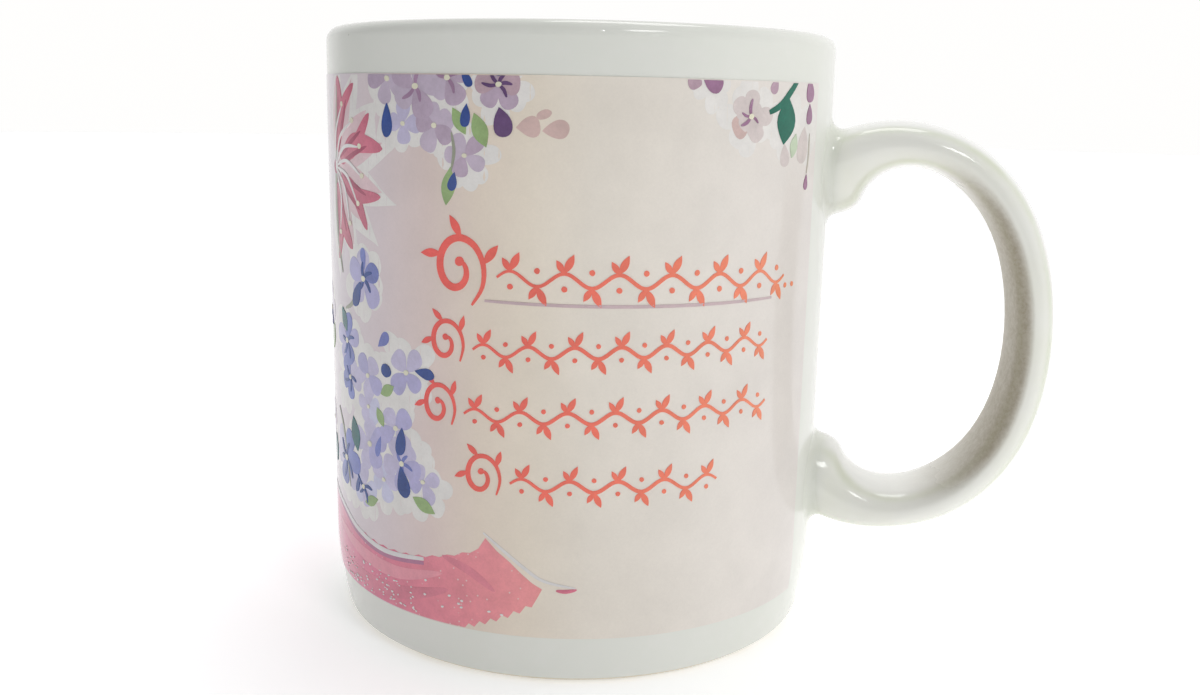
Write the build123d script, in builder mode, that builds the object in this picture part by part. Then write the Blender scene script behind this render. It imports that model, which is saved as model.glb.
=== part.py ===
"""Ceramic mug: a straight cup with a cast handle luted on with slip, glazed and printed.

Frame: millimetres, +Z up, origin at the middle of the foot ring on the plane the mug stands on,
+X from the mug's axis towards the handle.
"""
from build123d import *
from math import asin, copysign, cos, degrees, pi, radians, sin
import os

os.makedirs("parts", exist_ok=True)

# Overall sizes, over the glaze
mug_diameter = 82.0
mug_height = 95.0

# Cup, in fired clay
wall_thickness = 3.9
floor_thickness = 5.0
inside_corner_radius = 6.0
draw_in_height = 15.0       # where the wall starts to curve in to the foot, above the table
draw_in_radius = 60.0
foot_corner_radius = 2.0
foot_ring_width = 5.0
foot_well_depth = 2.0       # recess in the base, inside the foot ring
foot_edge_radius = 0.5

# Handle, in fired clay
upper_end_drop = 19.8       # from the lip down to where its middle line meets the wall
lower_end_rise = 7.2        # from the top of the draw-in up to where it meets the wall again
handle_reach = 33.0         # from the wall to the middle line where it stands out furthest
handle_width = 16.0
handle_thickness = 6.5
knuckle_height = 5.5        # how much it thickens on its inner side to meet the wall
knuckle_length = 16.5       # the distance along the handle over which it does
handle_root = 2.5           # how far its blank runs into the wall before it is cut to the wall

# Slip that joins them
slip_thickness = 0.3
slip_bead = 0.55            # how far it squeezes out round the joint

# Glaze
glaze_thickness = 0.2
bare_foot_height = 1.0      # wiped clear of glaze, above the table
crease_radius = 1.8         # glaze pooled in the crease round each joint

# Printed band
print_bottom = 7.9
print_top_margin = 7.3
print_gap_angle = 40.0      # left clear about the handle
print_thickness = 0.1

# Worked out
outer_radius = mug_diameter / 2 - glaze_thickness
inner_radius = outer_radius - wall_thickness
clay_height = mug_height - glaze_thickness
lip_radius = 0.49 * wall_thickness
crest_radius = outer_radius - wall_thickness / 2
base_height = foot_well_depth + floor_thickness
draw_in_angle = asin(draw_in_height / draw_in_radius)
foot_radius = outer_radius - draw_in_radius * (1 - cos(draw_in_angle))
foot_well_radius = foot_radius - foot_ring_width
upper_end_height = mug_height - upper_end_drop
lower_end_height = draw_in_height + lower_end_rise
end_spacing = upper_end_height - lower_end_height
print_height = mug_height - print_bottom - print_top_margin

# The handle's middle line, as shares of its reach and of the height between its ends
handle_line_shares = [
    (0.00, 1.00), (0.30, 1.064), (0.61, 1.018), (0.855, 0.86), (0.985, 0.58),
    (0.955, 0.295), (0.735, 0.052), (0.385, -0.045), (0.00, 0.00),
]
# Where along it the cross sections stand, closer together at the knuckles
section_places = [0.03, 0.06, 0.10, 0.15, 0.22, 0.31, 0.40, 0.50,
                  0.60, 0.69, 0.78, 0.85, 0.90, 0.94, 0.97]
section_steps = 12          # points round a cross section
section_power = 0.85        # under 1 squares the section up a little
outer_share = 0.56          # the part of the thickness outside the middle line

# Half of the mug's upright section is drawn on the side away from the handle
profile_plane = Plane((0, 0, 0), x_dir=(-1, 0, 0), z_dir=(0, 1, 0))
axis_corner = (Align.MIN, Align.MIN)
on_table = (Align.CENTER, Align.CENTER, Align.MIN)

# Outside of the cup, closed across its mouth and base
with BuildSketch(profile_plane) as cup_outline:
    with BuildLine():
        Line((0, 0), (foot_radius, 0))
        CenterArc((outer_radius - draw_in_radius, draw_in_height), draw_in_radius,
                  start_angle=0, arc_size=-degrees(draw_in_angle))
        Line((outer_radius, draw_in_height), (outer_radius, clay_height))
        Line((outer_radius, clay_height), (0, clay_height))
        Line((0, clay_height), (0, 0))
    make_face()
    fillet(cup_outline.vertices().group_by(Axis.Y)[0].sort_by(Axis.X)[-1], foot_corner_radius)
    fillet(cup_outline.vertices().group_by(Axis.Y)[-1].sort_by(Axis.X)[-1], lip_radius)

# The same outside over the glaze
with BuildSketch(profile_plane) as glazed_outline:
    add(cup_outline.sketch_local)
    offset(amount=glaze_thickness)
    split(bisect_by=Plane.YZ)

# The cup's own section: the outline with the cavity and the foot well taken out
with BuildSketch(profile_plane) as cup_profile:
    add(cup_outline.sketch_local)
    with Locations((0, base_height)):
        Rectangle(inner_radius, clay_height, align=axis_corner, mode=Mode.SUBTRACT)
    Rectangle(foot_well_radius, foot_well_depth, align=axis_corner, mode=Mode.SUBTRACT)
    fillet(cup_profile.vertices().group_by(Axis.Y)[-1].sort_by(Axis.X)[0], lip_radius)
    cavity_floor = cup_profile.vertices().filter_by_position(Axis.Y, base_height, base_height)
    fillet(cavity_floor.sort_by(Axis.X)[-1], inside_corner_radius)
    well_side = cup_profile.vertices().filter_by_position(Axis.X, foot_well_radius, foot_well_radius)
    fillet(well_side, foot_edge_radius)

with BuildPart() as body:
    with BuildSketch(profile_plane):
        add(cup_profile.sketch_local)
    revolve(axis=Axis.Z)

# The coat of glaze all round that section, shared out below between its pours
with BuildSketch(profile_plane) as coat_profile:
    add(cup_profile.sketch_local)
    offset(amount=glaze_thickness)
    add(cup_profile.sketch_local, mode=Mode.SUBTRACT)

# Handle
with BuildLine(Plane.XZ) as handle_line:
    Spline(*[(outer_radius + handle_reach * out, lower_end_height + end_spacing * up)
             for out, up in handle_line_shares])
middle_line = handle_line.line.edge()


def handle_sections():
    """Place each cross section, and say how much it is thickened on its inner side."""
    root = outer_radius - handle_root
    across = (0, 1, 0)
    yield Plane((root, 0, upper_end_height), x_dir=across, z_dir=(1, 0, 0)), knuckle_height
    for place in section_places:
        along = min(middle_line.length * min(place, 1 - place), knuckle_length)
        knuckle = knuckle_height * (1 - sin(pi / 2 * along / knuckle_length))
        yield Plane(middle_line @ place, x_dir=across, z_dir=middle_line % place), knuckle
    yield Plane((root, 0, lower_end_height), x_dir=across, z_dir=(-1, 0, 0)), knuckle_height


def section_points(knuckle, coat):
    """Go round one cross section, under a coat of the given thickness."""
    half_width = handle_width / 2 + coat
    rise = outer_share * handle_thickness + coat
    dip = (1 - outer_share) * handle_thickness + knuckle + coat
    for step in range(section_steps):
        angle = 2 * pi * step / section_steps
        across, out = cos(angle), sin(angle)
        yield (half_width * copysign(abs(across) ** section_power, across),
               (rise if out > 0 else dip) * copysign(abs(out) ** section_power, out))


def handle_blank(coat):
    """Loft the handle with its ends still running into the wall."""
    with BuildPart() as blank:
        for plane, knuckle in handle_sections():
            with BuildSketch(plane):
                with BuildLine():
                    Spline(*section_points(knuckle, coat), periodic=True)
                make_face()
        loft()
    return blank.part


def crosses_wall(edge):
    """Tell the edges where the handle comes out of the wall from all the others."""
    box = edge.bounding_box()
    return box.min.X > 0 and box.size.Y > 1


with BuildPart() as handle:
    add(handle_blank(0))
    Cylinder(outer_radius + slip_thickness, mug_height, mode=Mode.SUBTRACT, align=on_table)

# Both joints: the handle's ends grown by the bead, in a ring about the wall
with BuildPart() as joint_beads:
    add(handle_blank(slip_bead))
    Cylinder(outer_radius + slip_bead, mug_height, mode=Mode.INTERSECT, align=on_table)
    Cylinder(outer_radius, mug_height, mode=Mode.SUBTRACT, align=on_table)
lower_bead, upper_bead = joint_beads.solids().sort_by(Axis.Z)

with BuildPart() as upper_slip_joint:
    add(upper_bead)
    add(handle.part, mode=Mode.SUBTRACT)

with BuildPart() as lower_slip_joint:
    add(lower_bead)
    add(handle.part, mode=Mode.SUBTRACT)

# The outer coat fills the crease round each joint, then everything under it is taken out
with BuildPart() as outer_glaze:
    with BuildSketch(profile_plane):
        add(glazed_outline.sketch_local)
    revolve(axis=Axis.Z)
    add(handle_blank(glaze_thickness))
    fillet(outer_glaze.edges().filter_by(crosses_wall), crease_radius)
    with BuildSketch(profile_plane):
        add(cup_outline.sketch_local)
        Rectangle(crest_radius, mug_height, align=axis_corner)
        Rectangle(mug_diameter, 2 * bare_foot_height, align=(Align.MIN, Align.CENTER))
    revolve(axis=Axis.Z, mode=Mode.SUBTRACT)
    add(handle_blank(0), mode=Mode.SUBTRACT)
    add(joint_beads.part, mode=Mode.SUBTRACT)

with BuildPart() as liner_glaze:
    with BuildSketch(profile_plane):
        add(coat_profile.sketch_local)
        with Locations((0, base_height / 2)):
            Rectangle(crest_radius, mug_height, align=axis_corner, mode=Mode.INTERSECT)
    revolve(axis=Axis.Z)

with BuildPart() as foot_well_glaze:
    with BuildSketch(profile_plane):
        add(coat_profile.sketch_local)
        with Locations((0, bare_foot_height)):
            Rectangle(foot_well_radius, foot_well_depth, align=axis_corner, mode=Mode.INTERSECT)
    revolve(axis=Axis.Z)

# The printed band stops short of the handle on both sides
half_gap = radians(print_gap_angle / 2)
band_plane = Plane((0, 0, 0), x_dir=(cos(half_gap), sin(half_gap), 0),
                   z_dir=(sin(half_gap), -cos(half_gap), 0))
with BuildPart() as decal:
    with BuildSketch(band_plane):
        add(cup_outline.sketch_local)
        offset(amount=glaze_thickness + print_thickness)
        add(glazed_outline.sketch_local, mode=Mode.SUBTRACT)
        with Locations((0, print_bottom)):
            Rectangle(mug_diameter, print_height, align=axis_corner, mode=Mode.INTERSECT)
    revolve(axis=Axis.Z, revolution_arc=360 - print_gap_angle)

pieces = {
    "body": body,
    "handle": handle,
    "upper_slip_joint": upper_slip_joint,
    "lower_slip_joint": lower_slip_joint,
    "outer_glaze": outer_glaze,
    "liner_glaze": liner_glaze,
    "foot_well_glaze": foot_well_glaze,
    "decal": decal,
}
for name, piece in pieces.items():
    piece.part.label = name
    export_step(piece.part, f"parts/{name}.step")
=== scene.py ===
"""Looks for the ceramic mug: glazes, bare clay, the printed band and the pale studio it stands in.

Metres, in the row frame: +Z up from the table, +X from the mug's axis to the handle. The artwork is
laid out flat in millimetres, u round the mug and z up from the table, and wrapped on. u is 0 on the
side away from +Y and grows towards the handle.
"""
import random
from math import atan2, ceil, cos, degrees, floor, hypot, pi, radians, sin, sqrt

import bpy
from mathutils import Matrix, Vector
from mathutils.geometry import delaunay_2d_cdt


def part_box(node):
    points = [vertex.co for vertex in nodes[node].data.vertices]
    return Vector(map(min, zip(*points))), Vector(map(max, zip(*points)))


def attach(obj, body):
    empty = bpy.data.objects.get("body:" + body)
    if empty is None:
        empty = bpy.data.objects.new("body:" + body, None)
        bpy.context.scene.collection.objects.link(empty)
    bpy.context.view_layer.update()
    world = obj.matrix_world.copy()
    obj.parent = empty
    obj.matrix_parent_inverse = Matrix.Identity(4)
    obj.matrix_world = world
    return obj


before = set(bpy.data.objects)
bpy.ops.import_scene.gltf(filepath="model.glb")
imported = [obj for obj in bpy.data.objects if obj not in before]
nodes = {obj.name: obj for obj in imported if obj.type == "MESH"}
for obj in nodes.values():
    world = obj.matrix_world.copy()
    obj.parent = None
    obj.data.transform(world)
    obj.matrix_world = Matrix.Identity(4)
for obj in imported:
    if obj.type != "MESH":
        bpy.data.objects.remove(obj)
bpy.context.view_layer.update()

MM = 0.001

# ---------------------------------------------------------------- shader helpers


class Shader:
    """A node material with a Principled shader, built up by short calls."""

    def __init__(self, name, **fixed):
        self.material = bpy.data.materials.new(name)
        self.material.use_nodes = True
        self.tree = self.material.node_tree
        self.surface = self.tree.nodes["Principled BSDF"]
        for socket, value in fixed.items():
            self.surface.inputs[socket.replace("_", " ")].default_value = value

    def node(self, kind, inputs=None, **settings):
        made = self.tree.nodes.new("ShaderNode" + kind)
        for key, value in settings.items():
            setattr(made, key, value)
        for socket, value in (inputs or {}).items():
            self.put(made.inputs[socket], value)
        return made

    def put(self, socket, value):
        if isinstance(value, bpy.types.NodeSocket):
            self.tree.links.new(value, socket)
        else:
            socket.default_value = value

    def position(self):
        return self.node("TexCoord").outputs["Object"]

    def math(self, operation, *values):
        return self.node("Math", dict(enumerate(values)), operation=operation).outputs[0]

    def times(self, first, *others):
        for other in others:
            first = self.math("MULTIPLY", first, other)
        return first

    def size_of(self, value):
        return self.math("ABSOLUTE", value)

    def remap(self, value, low, high, to_low=0.0, to_high=1.0, smooth=True):
        ends = {"Value": value, "From Min": low, "From Max": high, "To Min": to_low, "To Max": to_high}
        kind = "SMOOTHSTEP" if smooth else "LINEAR"
        return self.node("MapRange", ends, interpolation_type=kind).outputs[0]

    def mix(self, share, a, b, blend="MIX"):
        made = self.node("Mix", data_type="RGBA", blend_type=blend)
        self.put(made.inputs[0], share)
        self.put(made.inputs[6], a)
        self.put(made.inputs[7], b)
        return made.outputs[2]

    def noise(self, size_mm, detail=3.0, rough=0.5, seed=0.0):
        """Noise whose lumps are about size_mm across, from 0 to 1."""
        lumps = {"Vector": self.position(), "Scale": 1 / (size_mm * MM), "Detail": detail,
                 "Roughness": rough, "W": seed}
        return self.node("TexNoise", lumps, noise_dimensions="4D").outputs["Fac"]

    def specks(self, spacing_mm, size):
        """1 in small round specks, 0 between them. size is a share of the spacing."""
        scale = 1 / (spacing_mm * MM)
        cells = self.node("TexVoronoi", {"Vector": self.position(), "Scale": scale, "Randomness": 1.0})
        return self.remap(cells.outputs["Distance"], size, 0.4 * size)

    def ramp(self, value, stops):
        made = self.node("ValToRGB", {"Fac": value})
        band = made.color_ramp
        while len(band.elements) < len(stops):
            band.elements.new(0.5)
        for element, (place, colour) in zip(band.elements, stops):
            element.position = place
            element.color = (*colour, 1)
        return made.outputs["Color"]

    def bump(self, height, depth_mm, strength):
        made = self.node("Bump", {"Height": height, "Distance": depth_mm * MM, "Strength": strength})
        self.put(self.surface.inputs["Normal"], made.outputs["Normal"])

    def coordinate(self, axis):
        return self.node("SeparateXYZ", {"Vector": self.position()}).outputs[axis]

    def round_mug(self):
        """0 at the print's edges beside the handle, going round either way to 1 opposite it."""
        turn = self.math("ARCTAN2", self.coordinate("Y"), self.coordinate("X"))
        return self.remap(self.size_of(turn), print_half_gap, pi, smooth=False)


# ---------------------------------------------------------------- sizes, from the frame

_, glaze_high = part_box("outer_glaze")
print_low, print_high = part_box("decal")
print_radius = print_high[1] / MM          # over the printed band
glaze_radius = glaze_high[1] / MM
print_bottom, print_top = print_low[2] / MM, print_high[2] / MM

# Sizes that the frame doesn't give, the same as in the CAD
glaze_thickness = 0.2
draw_in_height = 15.0                      # the wall curves in below this
clay_draw_in_radius = 60.0
draw_in_radius = clay_draw_in_radius + print_radius - (glaze_radius - glaze_thickness)
print_half_gap = radians(20)               # clear of print each side of the handle
right_end = print_radius * (pi / 2 - print_half_gap)
left_end = right_end - print_radius * (2 * pi - 2 * print_half_gap)
middle_u = (left_end + right_end) / 2      # opposite the handle

# ---------------------------------------------------------------- glazes and clay

POTTERY_WHITE = (0.785, 0.795, 0.745)
POTTERY_SHADE = (0.77, 0.785, 0.725)
POTTERY_MOTTLE = (0.83, 0.82, 0.79)
POOLED_GREEN = (0.60, 0.655, 0.45)
# painted light: the handle is painted whiter than the wall's glaze, for the light on its top
PAINTED_LIGHT_HANDLE_WHITE = (0.90, 0.90, 0.87)
CREAM = (0.86, 0.87, 0.77)
# painted shade: the dark brown painted on the handle's inner face
PAINTED_SHADE_BROWN = (0.35, 0.305, 0.225)
PINHOLE_BROWN = (0.30, 0.26, 0.20)
GLAZE_WAVE_MM, GLAZE_WAVE_DEPTH_MM = 14, 0.12


def handle_tints(s, colour):
    """Paint the whole handle whiter than the wall as painted light, warm its sides, paint brown shade on
    its inner face, and green the glaze on its edges and in creases.
    """
    x, y = s.coordinate("X"), s.coordinate("Y")
    reach = s.math("SQRT", s.math("ADD", s.times(x, x), s.times(y, y)))
    on_handle = s.remap(reach, (glaze_radius + 0.8) * MM, (glaze_radius + 3.5) * MM)
    # painted light: the whole handle's base colour is made whiter than the wall's
    colour = s.mix(on_handle, colour, (*PAINTED_LIGHT_HANDLE_WHITE, 1))
    facing = s.node("SeparateXYZ", {"Vector": s.node("TexCoord").outputs["Normal"]}).outputs
    drift = s.remap(s.noise(9, seed=1.7), 0.3, 0.7, 0.45, 1.0)
    side = s.times(s.remap(s.size_of(facing["Y"]), 0.25, 0.85), on_handle)
    colour = s.mix(s.times(side, drift, 0.75), colour, (*CREAM, 1))
    off_edge = s.size_of(s.math("SUBTRACT", s.size_of(facing["Y"]), 0.55))
    edge = s.times(s.remap(off_edge, 0.30, 0.0), on_handle)
    colour = s.mix(s.times(edge, drift, 0.55), colour, (*POOLED_GREEN, 1))
    # painted shade: the handle's inner face, the side that looks back at the wall, is darkened to a
    # speckled brown
    painted_shade_inner = s.times(s.remap(facing["X"], 0.05, -0.60), s.remap(x, 0.052, 0.070))
    speckle = s.remap(s.noise(0.8, detail=3, rough=0.7, seed=6.0), 0.3, 0.7, 0.8, 1.0)
    colour = s.mix(s.times(painted_shade_inner, speckle, 0.95), colour, (*PAINTED_SHADE_BROWN, 1))
    crease = s.node("AmbientOcclusion", {"Distance": 0.0035}, samples=8, only_local=True).outputs["AO"]
    near_wall = s.times(s.remap(reach, (glaze_radius + 6.0) * MM, (glaze_radius + 0.5) * MM),
                        s.remap(x, 0.030, 0.037))
    hollow = s.times(s.remap(crease, 0.93, 0.55), near_wall)
    colour = s.mix(s.times(hollow, 0.90), colour, (*POOLED_GREEN, 1))
    return colour, painted_shade_inner


def glaze_material(name, on_handle_too):
    """A clear-glazed off-white, mottled, with a few pinholes."""
    s = Shader(name, IOR=1.5)
    cloud = s.noise(26, detail=2)
    colour = s.mix(s.remap(cloud, 0.35, 0.7), (*POTTERY_WHITE, 1), (*POTTERY_SHADE, 1))
    mottle = s.noise(3.0, detail=4, rough=0.6, seed=3.1)
    colour = s.mix(s.remap(mottle, 0.45, 0.8, 0, 0.35), colour, (*POTTERY_MOTTLE, 1))
    rough = s.remap(s.noise(5, detail=4, seed=5.0), 0.3, 0.7, 0.07, 0.13)
    if on_handle_too:
        colour, painted_shade_inner = handle_tints(s, colour)
        # the inner face that carries the painted shade is also made rougher
        rough = s.math("ADD", rough, s.times(painted_shade_inner, 0.35))
    pinhole = s.specks(7.5, 0.020)
    colour = s.mix(s.times(pinhole, 0.6), colour, (*PINHOLE_BROWN, 1))
    s.put(s.surface.inputs["Base Color"], colour)
    s.put(s.surface.inputs["Roughness"], rough)
    wave = s.noise(GLAZE_WAVE_MM, detail=1, seed=8.0)
    s.bump(s.math("ADD", wave, s.times(pinhole, -0.2)), GLAZE_WAVE_DEPTH_MM, 0.55)
    return s.material


def clay_material(name, colour, grain_mm):
    """Unglazed fired clay, cloudy and grainy, with specks of iron."""
    s = Shader(name, Roughness=0.85)
    darker = (colour[0] * 0.9, colour[1] * 0.87, colour[2] * 0.8, 1)
    clay = s.mix(s.remap(s.noise(6, detail=5, rough=0.65), 0.3, 0.75), (*colour, 1), darker)
    iron = s.specks(1.6, 0.09)
    clay = s.mix(s.times(iron, 0.45), clay, (0.33, 0.24, 0.16, 1))
    grain = s.noise(grain_mm, detail=6, rough=0.7, seed=2.0)
    s.put(s.surface.inputs["Base Color"], clay)
    s.put(s.surface.inputs["Roughness"], s.remap(grain, 0.3, 0.7, 0.72, 0.95))
    s.bump(grain, 0.06, 0.8)
    return s.material


def printed(name, stops, grain, cloud_mm, worn=0.0):
    """Transfer ink under a clear glaze. stops run from the handle round to the side opposite it."""
    s = Shader(name, Roughness=0.13, IOR=1.42)
    base = s.ramp(s.round_mug(), stops)
    cloud = s.remap(s.noise(cloud_mm, detail=4, rough=0.6, seed=len(name)), 0.3, 0.7, 1 - grain,
                    1 + grain, smooth=False)
    fine = s.remap(s.noise(0.35, detail=3, rough=0.7, seed=4.4), 0.25, 0.75, 1 - 0.6 * grain,
                   1 + 0.6 * grain, smooth=False)
    tone = s.times(cloud, fine)
    grey = s.node("CombineXYZ", {0: tone, 1: tone, 2: tone}).outputs[0]
    colour = s.mix(1.0, base, grey, blend="MULTIPLY")
    if worn:
        colour = s.mix(s.times(s.specks(1.1, 0.16), worn), colour, (0.80, 0.76, 0.74, 1))
    s.put(s.surface.inputs["Base Color"], colour)
    s.bump(s.noise(GLAZE_WAVE_MM, detail=1, seed=8.0), GLAZE_WAVE_DEPTH_MM, 0.5)
    return s.material


def finish(node_name, material):
    """Give a CAD node this material alone."""
    materials = nodes[node_name].data.materials
    materials.clear()
    materials.append(material)


CLAY = clay_material("bisque_clay", (0.76, 0.72, 0.63), 0.5)
SLIP = clay_material("slip_clay", (0.73, 0.69, 0.60), 0.8)
for name in ("body", "handle"):
    finish(name, CLAY)
for name in ("upper_slip_joint", "lower_slip_joint"):
    finish(name, SLIP)
for name in ("outer_glaze", "liner_glaze", "foot_well_glaze"):
    finish(name, glaze_material(name + "_finish", name == "outer_glaze"))

# The print's ground goes from a pale pink white at the handle through peach cream to mauve grey
GROUND = printed("print_ground", [
    (0.00, (0.77, 0.725, 0.695)), (0.19, (0.79, 0.745, 0.69)), (0.35, (0.80, 0.745, 0.665)),
    (0.43, (0.805, 0.725, 0.615)), (0.49, (0.785, 0.685, 0.585)), (0.56, (0.75, 0.625, 0.59)),
    (0.64, (0.73, 0.635, 0.655)), (0.74, (0.72, 0.65, 0.695)), (1.00, (0.71, 0.65, 0.71)),
], grain=0.045, cloud_mm=11)
finish("decal", GROUND)

# ---------------------------------------------------------------- laying out the artwork, flat

rng = random.Random(7)
art = {}                                   # name of a printed colour: its outlines, each a list of (u, z)


def turned(points, centre, angle):
    """The points turned by an angle in degrees and moved to a centre."""
    c, s = cos(radians(angle)), sin(radians(angle))
    return [(centre[0] + x * c - y * s, centre[1] + x * s + y * c) for x, y in points]


def add(colour, outline):
    art.setdefault(colour, []).append(outline)


def wobbled(points, amount):
    """A hand-painted edge: the outline pushed in and out by slow waves."""
    waves = [(k, rng.uniform(0, 2 * pi), rng.uniform(0.4, 1) / k) for k in (2, 3, 5)]
    middle = (sum(p[0] for p in points) / len(points), sum(p[1] for p in points) / len(points))
    result = []
    for i, (x, y) in enumerate(points):
        turn = 2 * pi * i / len(points)
        push = 1 + amount * sum(size * sin(k * turn + phase) for k, phase, size in waves)
        result.append((middle[0] + (x - middle[0]) * push, middle[1] + (y - middle[1]) * push))
    return result


def petal(colour, root, angle, length, width, point=0.0, edge=0.10):
    """A petal or leaf that starts at root. point 0 gives a round end, 1 a leaf's sharp tip."""
    steps, round_end_fullness = 26, 1.3
    outline = []
    for i in range(steps):
        turn = 2 * pi * i / steps
        along = (1 - cos(turn)) / 2
        side = 1 if turn < pi else -1
        if point:
            half = width / 2 * sin(pi * along ** (0.62 + 0.38 * point)) * side
        else:
            half = width / 2 * round_end_fullness * (sqrt(along) * abs(sin(turn))) * side
        outline.append((length * along, half))
    add(colour, turned(wobbled(outline, edge), root, angle))


def oval(colour, centre, length, width, angle=0.0, edge=0.08, steps=22):
    turns = [2 * pi * i / steps for i in range(steps)]
    outline = [(length / 2 * cos(turn), width / 2 * sin(turn)) for turn in turns]
    add(colour, turned(wobbled(outline, edge), centre, angle))


def smooth_path(points, per_run=8):
    """A curve through the given points."""
    ends = [points[0]] + list(points) + [points[-1]]
    path = []

    def blend(a, b, c, d, t):
        return 0.5 * (2 * b + (c - a) * t + (2 * a - 5 * b + 4 * c - d) * t * t
                      + (3 * b - a - 3 * c + d) * t ** 3)

    for run in zip(ends, ends[1:], ends[2:], ends[3:]):
        for k in range(per_run):
            path.append(tuple(blend(*(corner[i] for corner in run), k / per_run) for i in (0, 1)))
    return path + [points[-1]]


def stroke(colour, points, width, taper=0.85, per_run=8):
    """A brush stroke through the points, widest at its middle. taper 0 keeps it even."""
    thinnest = 0.02
    path = smooth_path(points, per_run)
    left, right = [], []
    for i, (x, y) in enumerate(path):
        before, after = path[max(i - 1, 0)], path[min(i + 1, len(path) - 1)]
        dx, dy = after[0] - before[0], after[1] - before[1]
        size = hypot(dx, dy) or 1
        share = i / (len(path) - 1)
        half = width / 2 * (1 - taper + taper * sin(pi * share) ** 0.7) + thinnest
        left.append((x - dy / size * half, y + dx / size * half))
        right.append((x + dy / size * half, y - dx / size * half))
    add(colour, left + right[::-1])


def halo(centre, radius, lobes=9):
    """The pale brushed reserve that the flowers sit in."""
    for k in range(lobes):
        angle = 360 * k / lobes + rng.uniform(-12, 12)
        petal("reserve", centre, angle, radius * rng.uniform(0.8, 1.15), radius * 0.62, edge=0.12)
    oval("reserve", centre, radius * 1.2, radius * 1.2)


def floret(centre, size, colours, veins, petals=5, start=None):
    """A small open flower: round petals, a vein in some of them and a pale eye."""
    start = rng.uniform(0, 360) if start is None else start
    for k in range(petals):
        angle = start + 360 * k / petals + rng.uniform(-9, 9)
        petal(rng.choice(colours), centre, angle,
              size * rng.uniform(0.85, 1.12), size * rng.uniform(0.66, 0.86))
        if veins and rng.random() < 0.75:
            reach = size * rng.uniform(0.45, 0.75)
            tip = (centre[0] + reach * cos(radians(angle)), centre[1] + reach * sin(radians(angle)))
            bend = (centre[0] + reach * 0.5 * cos(radians(angle + 12)),
                    centre[1] + reach * 0.5 * sin(radians(angle + 12)))
            stroke(veins, [centre, bend, tip], size * 0.13)
    oval("eye", centre, size * 0.24, size * 0.20)


def leaf(colour, root, angle, length, width):
    petal(colour, root, angle, length, width, point=1.0, edge=0.05)


def scroll(centre, size, lean=0.0):
    """A curled frond with leaves along its back, to open a row of the motif."""
    path = []
    turns, runs = 1.35, 14
    for k in range(runs + 1):
        share = k / runs
        angle = radians(lean - 60) + 2 * pi * turns * share
        reach = size * (1 - 0.80 * share)
        path.append((centre[0] + 0.8 * reach * cos(angle), centre[1] + reach * sin(angle)))
    stroke("flourish", path, size * 0.19, taper=0.75, per_run=4)
    for x, y in path[2:7:2]:
        outward = degrees(atan2(y - centre[1], x - centre[0]))
        leaf("flourish", (x, y), outward + 40, size * 0.62, size * 0.22)
    oval("flourish", path[-1], size * 0.24, size * 0.24)


def vine(start, end, size, step):
    """A running row of curls and leaf dabs along a wavy line."""
    count = max(2, round((end[0] - start[0]) / step))
    per_wave, swing = 12, size * 0.26

    def place(share):
        rise = start[1] + (end[1] - start[1]) * share
        return start[0] + (end[0] - start[0]) * share, rise + swing * sin(pi * count * share)

    line = [place(k / (per_wave * count)) for k in range(per_wave * count + 1)]
    stroke("flourish", line, 0.52, taper=0.4, per_run=1)
    for k in range(count):
        up = 1 if k % 2 == 0 else -1
        x, y = place((k + 0.5) / count)
        leaf("flourish", (x, y), up * 64, size * 0.80, size * 0.30)
        leaf("flourish", (x, y), up * 122, size * 0.58, size * 0.25)
        oval("flourish", (x, y - up * size * 0.58), size * 0.22, size * 0.22)


def mirrored_on_the_far_side():
    """The same motifs, turned over, fill the half of the band on the other side of its middle."""
    for outlines in art.values():
        outlines += [[(2 * middle_u - u, z) for u, z in reversed(outline)] for outline in outlines]


# -- upper left: a hanging cluster of lilac and mauve florets
MAUVES, LILACS, BLUES = ["mauve", "mauve_deep"], ["lilac", "lilac_deep"], ["violet", "lilac_deep"]
for u, z in ((-22, 86.5), (-16.5, 86.8), (-11, 86.5), (-17, 81.5), (-12, 80.5), (-8, 76.8), (-3, 86)):
    halo((u, z), 4.6)
floret((-21.5, 87.0), 4.0, MAUVES, None)
floret((-16.0, 86.0), 4.3, MAUVES, "mauve_vein")
floret((-10.6, 87.2), 3.9, MAUVES, "mauve_vein")
floret((-12.8, 80.8), 3.6, MAUVES, None)
floret((-8.0, 76.9), 3.1, MAUVES, None)
floret((-18.4, 80.9), 3.3, ["lilac", "mauve"], None, petals=4)
floret((-3.0, 86.4), 3.6, ["dusk", "mauve_deep"], "plum", petals=6)
petal("navy", (-21.6, 83.6), 268, 4.6, 2.3)
petal("navy", (-7.6, 83.8), 262, 3.1, 1.5)
petal("navy", (-8.4, 88.4), 300, 2.8, 1.2)
petal("navy", (-9.5, 74.6), 255, 2.6, 1.4)
petal("plum", (-3.0, 83.4), 285, 3.9, 2.8)
petal("navy", (-4.7, 89.0), 330, 2.6, 1.2)
leaf("leaf", (-6.6, 82.6), 292, 4.9, 2.3)
leaf("leaf", (-9.8, 83.2), 300, 4.0, 1.9)
leaf("leaf", (-10.2, 75.2), 262, 5.2, 2.2)
stroke("stem", [(-10.0, 80.0), (-9.6, 77.4), (-10.1, 74.6)], 0.45)
petal("peach", (-0.6, 80.8), 5, 3.4, 2.8)
petal("peach", (3.0, 80.4), 8, 3.6, 2.6)
oval("peach", (3.2, 82.6), 2.2, 1.2, 20)

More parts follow.
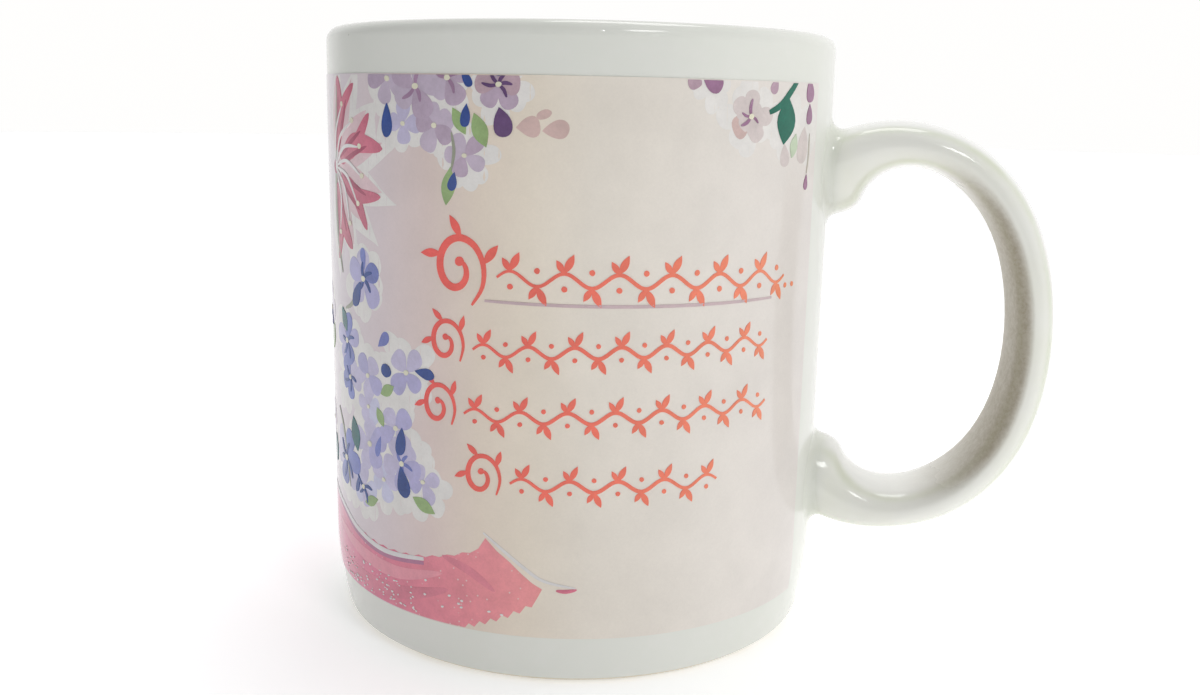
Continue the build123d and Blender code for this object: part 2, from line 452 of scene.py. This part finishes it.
# -- left: one large open blossom with long pointed rose petals
blossom = (-38.0, 74.0)
long_petals = ((84, 13.5), (58, 14.5), (34, 14.5), (12, 15.5),
               (-14, 15.0), (-38, 14.0), (-62, 13.5), (-88, 14.0))
for k, (angle, length) in enumerate(long_petals):
    petal("reserve", blossom, angle, length + 3.2, 6.0, point=0.6)
    petal("rose_pale", blossom, angle + 3, length, 3.9, point=0.8)
    bend = 14 if k % 2 else -12
    tip = (blossom[0] + length * cos(radians(angle)), blossom[1] + length * sin(radians(angle)))
    waist = (blossom[0] + 0.55 * length * cos(radians(angle + bend)),
             blossom[1] + 0.55 * length * sin(radians(angle + bend)))
    heart = (blossom[0] + 0.18 * length * cos(radians(angle)),
             blossom[1] + 0.18 * length * sin(radians(angle)))
    stroke("rose", [heart, waist, tip], 2.3 if k % 3 else 3.0, taper=0.95)
    stroke("rose_deep", [heart, ((waist[0] + tip[0]) / 2, (waist[1] + tip[1]) / 2)], 0.7, taper=0.9)
for k in range(7):
    angle = radians(-80 + 25 * k)
    stroke("reserve_line", [blossom, (blossom[0] + 5 * cos(angle + 0.3), blossom[1] + 5 * sin(angle + 0.3)),
                            (blossom[0] + 9.5 * cos(angle), blossom[1] + 9.5 * sin(angle))], 0.5)
    oval("eye", (blossom[0] + 9.9 * cos(angle), blossom[1] + 9.9 * sin(angle)), 1.0, 0.8)
oval("rose_deep", blossom, 2.6, 2.2)
stroke("stem", [(-36.8, 86.0), (-37.8, 78.0), (-38.4, 66.0), (-36.0, 58.0)], 0.9)

# -- below it: a blue flower, then a trailing column of small ones
halo((-28.3, 58.0), 6.2)
floret((-28.3, 58.0), 4.6, ["lilac", "lilac_deep", "violet"], "navy", start=20)
petal("navy", (-29.2, 57.4), 238, 4.4, 2.3)
petal("violet", (-28.0, 59.4), 100, 3.2, 1.5)
stroke("stem", [(-35.0, 52.6), (-32.5, 53.6), (-30.2, 55.8)], 0.6)
leaf("teal", (-36.6, 52.6), 300, 4.2, 2.2)
for u, z, size in ((-34.4, 47.5, 4.6), (-27.4, 43.6, 4.2), (-18.6, 45.8, 4.6), (-27.6, 38.8, 3.8),
                   (-34.2, 40.8, 4.2), (-22.6, 41.0, 3.4)):
    halo((u, z), size + 1.2, 8)
floret((-34.6, 47.6), 4.3, BLUES, "navy")
floret((-33.6, 42.0), 3.7, ["violet", "lilac"], "navy")
floret((-27.6, 43.4), 3.7, LILACS, None)
floret((-18.4, 45.4), 3.9, LILACS, None, petals=4)
floret((-27.6, 38.6), 3.1, ["lilac", "lilac_pale"], None)
oval("navy", (-22.8, 45.0), 2.3, 2.0)
petal("navy", (-16.6, 46.0), -8, 3.4, 1.7)
petal("violet", (-24.6, 48.4), 40, 3.2, 1.8)
leaf("leaf", (-24.2, 41.2), 28, 3.6, 1.8)
leaf("leaf", (-25.2, 39.0), 300, 3.2, 1.7)

# -- lower left: the fullest cluster, over the ribbon
for u, z, size in ((-28, 32.8, 5.6), (-20.8, 36.0, 5.0), (-19.4, 31.0, 5.2), (-15.6, 28.6, 4.4),
                   (-29.4, 25.4, 4.6), (-35.8, 27.6, 5.4), (-23.4, 27.8, 4.4)):
    halo((u, z), size + 0.8, 8)
floret((-27.4, 32.8), 4.6, LILACS, None)
floret((-20.8, 36.6), 4.0, LILACS, None, petals=4)
floret((-19.6, 31.4), 4.1, LILACS, "violet")
floret((-15.4, 29.4), 3.3, LILACS, None, petals=4)
floret((-29.6, 25.4), 3.8, ["lilac_pale", "lilac"], "navy")
floret((-36.2, 28.4), 5.2, ["violet", "lilac"], "navy", petals=6)
floret((-23.8, 28.0), 3.3, ["lilac_pale", "lilac"], None)
petal("navy", (-19.4, 37.0), 262, 4.4, 2.1)
petal("navy", (-19.8, 31.0), 280, 4.8, 2.6)
petal("navy", (-31.0, 26.8), 250, 3.0, 1.1)
petal("violet", (-24.4, 34.6), 250, 3.4, 1.4)
leaf("teal", (-32.8, 36.0), 285, 5.6, 3.0)
leaf("leaf", (-17.4, 26.8), -24, 4.6, 2.0)
leaf("leaf", (-25.4, 24.4), 200, 4.0, 1.7)
stroke("stem", [(-40.0, 36.0), (-37.0, 32.0), (-34.6, 24.0)], 0.6)

# -- upper right: a small spray near the handle
for u, z, size in ((33.2, 82.6, 5.4), (41.0, 81.4, 5.0), (46.6, 80.6, 4.6), (26.2, 87.2, 3.6)):
    halo((u, z), size, 8)
petal("plum_soft", (24.6, 88.4), 330, 3.8, 2.6)
petal("dusk", (22.8, 88.6), 300, 2.6, 2.0)
floret((33.2, 82.8), 3.9, ["peach", "dusk_pale"], "mauve_vein", start=80)
floret((33.2, 82.8), 2.6, ["dusk_pale"], "plum_soft", petals=6, start=35)
stroke("pine", [(43.4, 88.2), (41.6, 86.4), (39.2, 84.4), (36.8, 83.4)], 0.95, taper=0.4)
leaf("pine", (41.2, 85.4), 262, 6.6, 4.3)
petal("dusk_pale", (40.6, 79.0), 275, 3.2, 2.4)
petal("dusk_pale", (46.0, 81.6), 262, 5.6, 3.2)
petal("plum_soft", (46.6, 88.4), 285, 3.6, 2.4)
petal("plum_soft", (47.2, 84.6), 270, 2.8, 1.9)
petal("dusk", (38.2, 88.2), 250, 2.4, 1.6)
leaf("leaf_pale", (43.4, 80.4), 255, 3.6, 1.9)
petal("plum_soft", (47.2, 74.4), 265, 2.2, 1.2)
stroke("stem_pale", [(47.6, 80.4), (47.6, 77.0), (47.2, 74.6)], 0.35)


# -- ribbon along the foot of the print, its top edge scalloped and its far edge torn in points
def ribbon():
    """It hangs lowest under the clusters, rises to both sides and folds over at its end."""
    top, bottom = [], []
    lowest, highest, scallop = 17.1, 21.6, 0.34
    for k in range(46):
        share = k / 45
        u = middle_u + (-6.0 - middle_u) * share
        if u > -40:
            rise = lowest + 3.2 * abs((u + 23) / 16.5) ** 2.0
        else:
            rise = lowest + 3.44 + 0.05 * abs(u + 40)
        top.append((u, min(rise, highest) + scallop * (k % 2)))
    fold = [(-4.9, 22.6), (-3.2, 20.9), (-1.2, 19.4), (0.6, 17.7), (2.2, 16.4), (3.6, 15.6)]
    for k in range(15):
        share = k / 14
        u = 3.0 + (-9.5 - 3.0) * share
        bottom.append((u, 14.4 - 6.2 * share ** 0.72 - 0.75 * (k % 2)))
    low = [(-9.5 + (middle_u + 9.5) * k / 12, print_bottom) for k in range(13)]
    return top + fold + bottom + low


add("ribbon", ribbon())
stroke("ribbon_shade", [(-40, 12.0), (-30, 10.4), (-20, 11.0), (-11, 13.6)], 2.4, taper=0.9)
stroke("ribbon_shade", [(-12, 18.8), (-7.4, 17.2), (-3.4, 14.6)], 1.3, taper=0.95)
stroke("ribbon_light", [(-41, 16.8), (-31, 14.6), (-21, 14.0), (-12, 16.0)], 2.2, taper=0.95)
piping = [(-46, 21.6), (-38.4, 20.0), (-32, 17.9), (-24, 16.7), (-15.4, 17.5)]
stroke("piping_dark", [(u, z - 0.65) for u, z in piping], 0.75, taper=0.35)
stroke("piping", piping, 0.8, taper=0.4)
stroke("piping", [(-5.2, 23.4), (-2.6, 21.4), (0.8, 18.8), (3.8, 16.9), (8.4, 15.9)], 0.45, taper=0.6)
stroke("rose", [(5.6, 15.5), (7.0, 15.4), (8.6, 15.7)], 0.55)
for k in range(90):
    spot = (rng.uniform(-38, -17), 8.6 + 4.6 * rng.random() ** 1.6)
    oval("reserve_line", spot, rng.uniform(0.2, 0.55), rng.uniform(0.15, 0.35), edge=0.2, steps=9)
for k in range(9):
    oval("reserve_line", (rng.uniform(-16, -2), rng.uniform(10.5, 15.5)), 0.5, 0.35, edge=0.2, steps=9)

# -- four rows of a running leaf motif, with a rule under the first
scroll((-9.2, 61.4), 5.7)
vine((-3.2, 60.6), (42.0, 60.0), 3.7, 3.9)
for k in range(3):
    oval("flourish", (40.6 + 1.9 * k, 58.4), 0.75, 0.75)
stroke("rule", [(-5.0, 57.2), (8, 57.0), (24, 56.9), (39.2, 56.9)], 0.42, taper=0.35)
for left, right, z_left, z_right in ((-11.2, 38.6, 50.2, 50.8), (-12.6, 38.8, 40.8, 41.6),
                                     (-5.6, 29.6, 31.2, 31.0)):
    scroll((left, z_left + 0.6), 3.9, lean=20)
    vine((left + 4.4, z_left), (right, z_right), 3.1, 3.3)

# -- the hidden middle of the band, then its other half
halo((middle_u, 70), 10, 14)
for k in range(14):
    angle = 360 * k / 14 + rng.uniform(-6, 6)
    petal("rose_pale", (middle_u, 70), angle, rng.uniform(8, 12), 5.2, point=0.4)
    petal("rose", (middle_u, 70), angle + 8, rng.uniform(6, 9), 2.6, point=0.7)
oval("eye", (middle_u, 70), 3.2, 3.0)
for k in range(9):
    spot = (middle_u + rng.uniform(1, 20), rng.uniform(27, 54))
    halo(spot, 5.0, 8)
    floret(spot, rng.uniform(3.4, 4.8), rng.choice([LILACS, BLUES, MAUVES]), rng.choice(["navy", None]))
    leaf(rng.choice(["leaf", "teal"]), (spot[0] + 3, spot[1] - 2), rng.uniform(240, 330), 4.6, 2.2)
mirrored_on_the_far_side()

# ---------------------------------------------------------------- from flat outlines to pieces on the mug

COLUMN = print_radius * radians(1.0)       # a facet every degree
ROW = 1.5
INK_MARGIN = 0.15                          # the inks stop this short of the print's edges
INK_ROOT = -0.03                           # how far the back of the ink sinks into the band
SAME_POINT = 1e-4


def print_face(z):
    """The band's radius at a height: straight above the draw-in, an arc below it."""
    if z >= draw_in_height:
        return print_radius
    return print_radius - draw_in_radius + sqrt(draw_in_radius ** 2 - (draw_in_height - z) ** 2)


def on_mug(u, z, lift):
    """A flat point wrapped on the band and lifted off it, in metres."""
    angle = -pi / 2 + u / print_radius
    reach = print_face(z) + lift
    return (reach * cos(angle) * MM, reach * sin(angle) * MM, z * MM)


def clipped(outline, axis, limit, keep_above):
    """The outline cut off square at a limit, as the edge of the print cuts it."""
    kept = []
    for a, b in zip(outline, outline[1:] + outline[:1]):
        a_in = (a[axis] >= limit) == keep_above
        b_in = (b[axis] >= limit) == keep_above
        if a_in:
            kept.append(a)
        if a_in != b_in:
            t = (limit - a[axis]) / (b[axis] - a[axis])
            kept.append((a[0] + (b[0] - a[0]) * t, a[1] + (b[1] - a[1]) * t))
    return kept


def fine_edge(outline):
    """The outline with its long edges divided, so that it can follow the wall."""
    points = []
    for a, b in zip(outline, outline[1:] + outline[:1]):
        runs = max(1, ceil(hypot(b[0] - a[0], b[1] - a[1]) / COLUMN))
        points += [(a[0] + (b[0] - a[0]) * k / runs, a[1] + (b[1] - a[1]) * k / runs) for k in range(runs)]
    return points


def inside_points(outline):
    """The columns and rows of the grid that fall within an outline."""
    us = [p[0] for p in outline]
    edges = list(zip(outline, outline[1:] + outline[:1]))
    for i in range(ceil(min(us) / COLUMN), floor(max(us) / COLUMN) + 1):
        u = i * COLUMN
        crossings = sorted(a[1] + (u - a[0]) * (b[1] - a[1]) / (b[0] - a[0])
                           for a, b in edges if (a[0] > u) != (b[0] > u))
        for low, high in zip(crossings[::2], crossings[1::2]):
            for j in range(ceil(low / ROW), floor(high / ROW) + 1):
                yield i, j


def joined_triangles(outlines):
    """All the outlines of a colour as one flat sheet: its points, and triangles that face up."""
    points, faces, grid = [], [], set()
    for outline in outlines:
        for axis, limit, above in ((1, print_top - INK_MARGIN, False), (1, print_bottom + INK_MARGIN, True),
                                   (0, right_end - INK_MARGIN, False), (0, left_end + INK_MARGIN, True)):
            outline = clipped(outline, axis, limit, above)
        if len(outline) < 3:
            continue
        outline = fine_edge(outline)
        faces.append(list(range(len(points), len(points) + len(outline))))
        points += [Vector(p) for p in outline]
        grid.update(inside_points(outline))
    points += [Vector((i * COLUMN, j * ROW)) for i, j in sorted(grid)]
    flat, _, triangles, *_ = delaunay_2d_cdt(points, [], faces, 1, SAME_POINT)
    used = sorted({i for t in triangles for i in t})
    index = {old: new for new, old in enumerate(used)}
    sheet = []
    for t in triangles:
        a, b, c = (flat[i] for i in t)
        if (b - a).cross(c - a) < 0:
            t = t[::-1]
        sheet.append([index[i] for i in t])
    return [flat[i] for i in used], sheet


def printed_piece(name, outlines, lift, material):
    """One closed skin of ink: every outline of a colour, wrapped on the band and a little proud of it."""
    flat, front = joined_triangles(outlines)
    count = len(flat)
    edge_uses = {}
    for t in front:
        for pair in zip(t, t[1:] + t[:1]):
            key = tuple(sorted(pair))
            edge_uses[key] = None if key in edge_uses else pair
    rim = [pair for pair in edge_uses.values() if pair]
    back = [[count + i for i in reversed(t)] for t in front]
    sides = [(b, a, count + a, count + b) for a, b in rim]
    corners = [on_mug(*point, lift) for point in flat] + [on_mug(*point, INK_ROOT) for point in flat]
    mesh = bpy.data.meshes.new(name)
    mesh.from_pydata(corners, [], front + back + sides)
    mesh.validate()
    mesh.shade_smooth()
    borders = {tuple(sorted(pair)) for pair in rim}
    borders |= {(a + count, b + count) for a, b in borders}

    def is_border(edge):
        a, b = sorted(edge.vertices)
        return (a, b) in borders or a < count <= b

    sharp = mesh.attributes.new("sharp_edge", "BOOLEAN", "EDGE")
    sharp.data.foreach_set("value", [is_border(edge) for edge in mesh.edges])
    piece = bpy.data.objects.new(name, mesh)
    bpy.context.scene.collection.objects.link(piece)
    mesh.materials.append(material)
    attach(piece, "root")


INK_STRENGTH = 1.3                         # over 1 lays every ink on deeper


def even_stops(colours):
    """The tones of an ink, spread evenly over its ramp."""
    deeper = [tuple(c ** INK_STRENGTH for c in colour) for colour in colours]
    return [(k / (len(deeper) - 1), colour) for k, colour in enumerate(deeper)]


# Each ink: its tones from the handle round to the far side, how cloudy it is, and the layer it lies in
INKS = {
    "reserve": ([(0.835, 0.815, 0.79), (0.83, 0.815, 0.80)], 0.06, 1),
    "rose_pale": ([(0.80, 0.60, 0.62), (0.80, 0.66, 0.69)], 0.10, 2),
    "lilac_pale": ([(0.70, 0.70, 0.84), (0.66, 0.66, 0.82)], 0.08, 2),
    "peach": ([(0.70, 0.56, 0.53), (0.72, 0.55, 0.53)], 0.10, 2),
    "dusk_pale": ([(0.74, 0.68, 0.66), (0.70, 0.60, 0.62)], 0.10, 3),
    "lilac": ([(0.66, 0.60, 0.72), (0.62, 0.60, 0.78)], 0.12, 3),
    "mauve": ([(0.64, 0.56, 0.64), (0.62, 0.55, 0.66)], 0.10, 4),
    "lilac_deep": ([(0.56, 0.52, 0.70), (0.54, 0.53, 0.77)], 0.12, 5),
    "mauve_deep": ([(0.60, 0.49, 0.57), (0.56, 0.48, 0.60)], 0.12, 6),
    "dusk": ([(0.56, 0.42, 0.50), (0.62, 0.50, 0.52)], 0.14, 7),
    "violet": ([(0.30, 0.32, 0.62), (0.26, 0.31, 0.62)], 0.22, 8),
    "ribbon": ([(0.92, 0.50, 0.42), (0.92, 0.46, 0.44), (0.80, 0.31, 0.42), (0.82, 0.44, 0.57)], 0.10, 3),
    "ribbon_shade": ([(0.84, 0.38, 0.38), (0.72, 0.29, 0.42)], 0.12, 4),
    "ribbon_light": ([(0.90, 0.46, 0.46), (0.83, 0.42, 0.53)], 0.10, 5),
    "stem": ([(0.46, 0.46, 0.38), (0.42, 0.45, 0.38)], 0.12, 9),
    "stem_pale": ([(0.60, 0.56, 0.50), (0.60, 0.56, 0.50)], 0.12, 9),
    "leaf": ([(0.42, 0.55, 0.28), (0.40, 0.52, 0.30)], 0.16, 10),
    "leaf_pale": ([(0.62, 0.70, 0.56), (0.58, 0.68, 0.52)], 0.12, 10),
    "teal": ([(0.02, 0.22, 0.20), (0.01, 0.20, 0.22)], 0.20, 11),
    "pine": ([(0.02, 0.22, 0.16), (0.04, 0.17, 0.12)], 0.20, 11),
    "rose": ([(0.72, 0.26, 0.34), (0.68, 0.25, 0.34)], 0.16, 9),
    "rose_deep": ([(0.52, 0.14, 0.22), (0.50, 0.14, 0.23)], 0.18, 10),
    "mauve_vein": ([(0.48, 0.32, 0.42), (0.46, 0.34, 0.48)], 0.15, 12),
    "plum_soft": ([(0.44, 0.26, 0.38), (0.40, 0.26, 0.42)], 0.15, 12),
    "plum": ([(0.24, 0.15, 0.28), (0.20, 0.13, 0.27)], 0.18, 12),
    "navy": ([(0.10, 0.13, 0.32), (0.08, 0.16, 0.42)], 0.22, 13),
    "piping_dark": ([(0.56, 0.30, 0.42), (0.56, 0.30, 0.42)], 0.10, 6),
    "piping": ([(0.78, 0.76, 0.75), (0.80, 0.78, 0.79)], 0.05, 7),
    "reserve_line": ([(0.84, 0.82, 0.81), (0.84, 0.83, 0.83)], 0.05, 14),
    "eye": ([(0.82, 0.80, 0.66), (0.82, 0.80, 0.68)], 0.08, 15),
    "rule": ([(0.68, 0.57, 0.58), (0.62, 0.47, 0.52)], 0.08, 9),
    "flourish": ([(0.88, 0.40, 0.25), (0.90, 0.27, 0.20), (0.88, 0.16, 0.17), (0.84, 0.14, 0.20)], 0.10, 9),
}
LAYER = 0.008                              # the thickness of a layer
RIBBON_WEAR = 0.7

for ink, (tones, grain, layer) in INKS.items():
    worn = RIBBON_WEAR if ink == "ribbon" else 0.0
    material = printed("ink_" + ink, even_stops(tones), grain, cloud_mm=3.5, worn=worn)
    printed_piece("print_" + ink, art[ink], LAYER * layer, material)

# ---------------------------------------------------------------- studio


def pale_floor():
    """A white disc, lit a little from within, just under the foot ring."""
    mesh = bpy.data.meshes.new("floor")
    rings, sides, level = (0.12, 0.3, 0.8, 2.5), 96, -0.00002
    turns = [2 * pi * k / sides for k in range(sides)]
    verts = [(0, 0, level)]
    for reach in rings:
        verts += [(reach * cos(turn), reach * sin(turn), level) for turn in turns]
    faces = [(0, 1 + k, 1 + (k + 1) % sides) for k in range(sides)]
    for ring in range(len(rings) - 1):
        a, b = 1 + ring * sides, 1 + (ring + 1) * sides
        faces += [(a + k, b + k, b + (k + 1) % sides, a + (k + 1) % sides) for k in range(sides)]
    mesh.from_pydata(verts, [], faces)
    s = Shader("pale_floor", Roughness=0.7, Emission_Strength=0.34)
    s.surface.inputs["Base Color"].default_value = (0.93, 0.93, 0.93, 1)
    s.surface.inputs["Emission Color"].default_value = (1, 1, 1, 1)
    mesh.materials.append(s.material)
    floor_piece = bpy.data.objects.new("floor", mesh)
    bpy.context.scene.collection.objects.link(floor_piece)


def soft_sky():
    """An even pale surround, dimmer towards the mug's left so that its form reads."""
    world = bpy.data.worlds.new("studio")
    bpy.context.scene.world = world
    world.use_nodes = True
    tree = world.node_tree
    coords = tree.nodes.new("ShaderNodeTexCoord")
    facing = tree.nodes.new("ShaderNodeVectorMath")
    facing.operation = "DOT_PRODUCT"
    bright_side, lean_up = radians(60), 0.25
    facing.inputs[1].default_value = (cos(bright_side), sin(bright_side), lean_up)
    tree.links.new(coords.outputs["Generated"], facing.inputs[0])
    share = tree.nodes.new("ShaderNodeMapRange")
    share.interpolation_type = "SMOOTHSTEP"
    share.inputs["From Min"].default_value = -0.38
    share.inputs["From Max"].default_value = 0.36
    tree.links.new(facing.outputs["Value"], share.inputs["Value"])
    blend = tree.nodes.new("ShaderNodeMix")
    blend.data_type = "RGBA"
    blend.inputs[6].default_value = (0.185, 0.19, 0.20, 1)
    blend.inputs[7].default_value = (1.0, 0.995, 0.985, 1)
    tree.links.new(share.outputs[0], blend.inputs[0])
    tree.links.new(blend.outputs[2], tree.nodes["Background"].inputs["Color"])
    tree.nodes["Background"].inputs["Strength"].default_value = 1.0


def softbox(name, place, aim, width, height, watts):
    lamp = bpy.data.lights.new(name, "AREA")
    lamp.shape = "RECTANGLE"
    lamp.size, lamp.size_y = width, height
    lamp.energy = watts
    holder = bpy.data.objects.new(name, lamp)
    holder.location = place
    holder.rotation_euler = (Vector(aim) - Vector(place)).to_track_quat("-Z", "Y").to_euler()
    bpy.context.scene.collection.objects.link(holder)


def photo_camera():
    """Close in front, just below the lip's height and towards the handle, turned left and tipped down."""
    data = bpy.data.cameras.new("camera")
    data.sensor_width = 36.0
    data.lens = 35.6
    data.clip_start = 0.01
    camera = bpy.data.objects.new("camera", data)
    place = Vector((0.0394, -0.1969, 0.0846))
    heading, tip, roll = -0.178, 0.2054, 0.0203
    forward = Vector((sin(heading) * cos(tip), cos(heading) * cos(tip), -sin(tip)))
    right = forward.cross(Vector((0, 0, 1))).normalized()
    up = right.cross(forward)
    across = right * cos(roll) + up * sin(roll)
    over = up * cos(roll) - right * sin(roll)
    camera.matrix_world = Matrix.Translation(place) @ Matrix((across, over, -forward)).transposed().to_4x4()
    bpy.context.scene.collection.objects.link(camera)
    bpy.context.scene.camera = camera


pale_floor()
soft_sky()
softbox("window", (0.40, -0.46, 0.60), (0.02, 0, 0.05), 0.20, 0.12, 0.85)
softbox("top_panel", (0.05, 0.25, 0.75), (0, 0, 0.09), 0.35, 0.25, 0.9)
photo_camera()
bpy.context.scene.view_settings.view_transform = "Standard"
